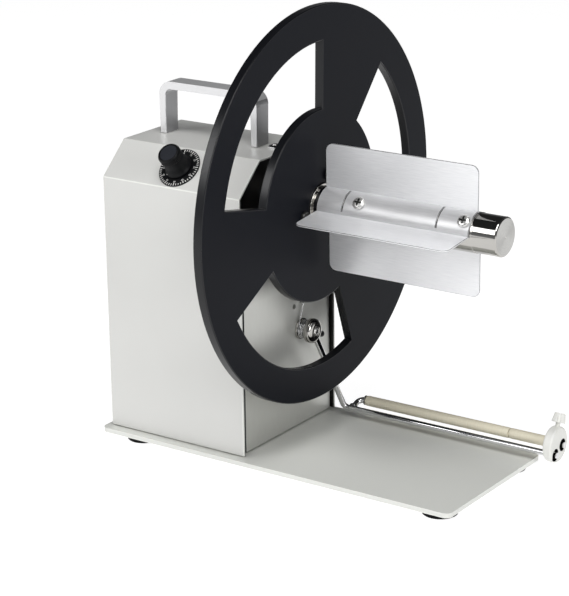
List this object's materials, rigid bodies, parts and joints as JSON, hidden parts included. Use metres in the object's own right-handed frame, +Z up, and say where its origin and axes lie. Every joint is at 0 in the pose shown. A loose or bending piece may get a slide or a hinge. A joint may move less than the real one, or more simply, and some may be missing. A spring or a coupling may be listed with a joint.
{
  "type": "label rewinder",
  "caption": "Bench label rewinder: sloped steel housing, motor-driven spindle with a windowed flange disc and bladed core holder, and a sprung swing arm with rollers and an edge guide.",
  "frame": {"origin": "on the table under the middle of the machine: halfway along its length, on the spindle's middle plane, at the bottom of the feet", "axes": "+X along the spindle to its free end, -Y towards the front with the knob, +Z up"},
  "size_m": [0.2805, 0.25, 0.2885],
  "materials": {
    "light_grey_paint": "semi-gloss powder coat",
    "panel_steel": "satin",
    "satin_aluminium": "satin",
    "black_paint": "satin",
    "chrome": "polished",
    "brushed_steel": "brushed along the spindle",
    "plain_steel": "plain",
    "cast_aluminium": "as cast",
    "brass": "plain",
    "rubber": "matte",
    "black_plastic": "matte",
    "board_green": "satin",
    "red_plastic": "gloss",
    "white_nylon": "satin",
    "ivory_nylon": "satin"
  },
  "bodies": {
    "frame": {"base_plate": "light_grey_paint", "rubber_feet": "rubber", "foot_screws": "plain_steel", "housing_cover": "light_grey_paint", "drive_panel": "panel_steel", "base_screws": "plain_steel", "carry_handle": "satin_aluminium", "handle_screws": "plain_steel", "bearing_housing": "cast_aluminium", "bearing_screws": "plain_steel", "bearing_outer_races": "plain_steel", "motor_standoffs": "plain_steel", "motor_bracket": "plain_steel", "gearbox_case": "cast_aluminium", "motor_can": "plain_steel", "drive_screws": "plain_steel", "control_board": "board_green", "board_parts": "black_plastic", "board_standoffs": "brass", "board_screws": "plain_steel", "potentiometer": "plain_steel", "pot_nut": "plain_steel", "dial_plate": "black_paint", "button_body": "black_plastic", "button_nut": "chrome", "power_inlet": "black_plastic", "inlet_nut": "plain_steel", "pivot_bush": "brass", "switch_bracket": "plain_steel", "micro_switch": "black_plastic"},
    "spindle": {"spindle_shaft": "chrome", "disc_hub": "chrome", "flange_disc": "black_paint", "hub_screws": "chrome", "core_sheet_a": "brushed_steel", "core_sheet_b": "brushed_steel", "blade_screws": "chrome", "bearing_inner_races": "plain_steel", "bearing_balls": "plain_steel", "gear_spacer": "plain_steel", "spindle_gear": "plain_steel", "shaft_circlip": "plain_steel"},
    "rotor": {"motor_shaft": "plain_steel", "motor_pinion": "brass"},
    "knob": {"control_knob": "black_plastic", "pot_shaft": "plain_steel"},
    "button": {"push_button": "black_plastic"},
    "arm": {"swing_arm": "chrome", "pivot_hub": "chrome", "clamp_screw": "black_plastic", "pivot_shaft": "chrome", "switch_cam": "white_nylon", "roller_clips": "plain_steel", "torsion_spring": "chrome"},
    "plunger": {"switch_plunger": "red_plastic"},
    "long_roller": {"roller_long": "ivory_nylon"},
    "short_roller": {"roller_short": "ivory_nylon"},
    "guide": {"edge_guide": "white_nylon"},
    "thumb": {"thumb_screw": "white_nylon"}
  },
  "joints": [
    {"name": "spindle_spin", "type": "hinge", "parent": "frame", "child": "spindle", "pos_m": [0, 0, 0.1635], "axis": [1, 0, 0], "continuous": true},
    {"name": "motor_spin", "type": "hinge", "parent": "frame", "child": "rotor", "pos_m": [-0.08, 0, 0.126], "axis": [1, 0, 0], "continuous": true},
    {"name": "knob_turn", "type": "hinge", "parent": "frame", "child": "knob", "pos_m": [-0.08325, -0.041, 0.1855], "axis": [0, 0.6727, -0.7399], "range_deg": [0, 300]},
    {"name": "button_push", "type": "slide", "parent": "frame", "child": "button", "axis": [0, 0, -1], "range_m": [0, 0.0008]},
    {"name": "arm_swing", "type": "hinge", "parent": "frame", "child": "arm", "pos_m": [-0.02, 0.016, 0.0736], "axis": [1, 0, 0], "range_deg": [0, 40], "stiffness_Nm_per_rad": 0.12, "springref_deg": -34.38, "deforming": ["torsion_spring"]},
    {"name": "plunger_push", "type": "slide", "parent": "frame", "child": "plunger", "axis": [0, -1, 0], "range_m": [0, 0.0012]},
    {"name": "long_roller_spin", "type": "hinge", "parent": "arm", "child": "long_roller", "pos_m": [0.05, 0.0526, 0.0179], "axis": [1, 0, 0], "continuous": true},
    {"name": "short_roller_spin", "type": "hinge", "parent": "arm", "child": "short_roller", "pos_m": [0.112, 0.0526, 0.0179], "axis": [1, 0, 0], "continuous": true},
    {"name": "guide_slide", "type": "slide", "parent": "arm", "child": "guide", "axis": [-1, 0, 0], "range_m": [0, 0.125]},
    {"name": "thumb_turn", "type": "hinge", "parent": "guide", "child": "thumb", "pos_m": [0.13575, 0.0435, 0.014], "axis": [0, 0.4067, 0.9135], "range_deg": [0, 360]}
  ],
  "couplings": [
    {"joint": "motor_spin", "follows": "spindle_spin", "ratio": -2.3333},
    {"joint": "plunger_push", "follows": "arm_swing", "m_per_rad": 0.0017188}
  ]
}
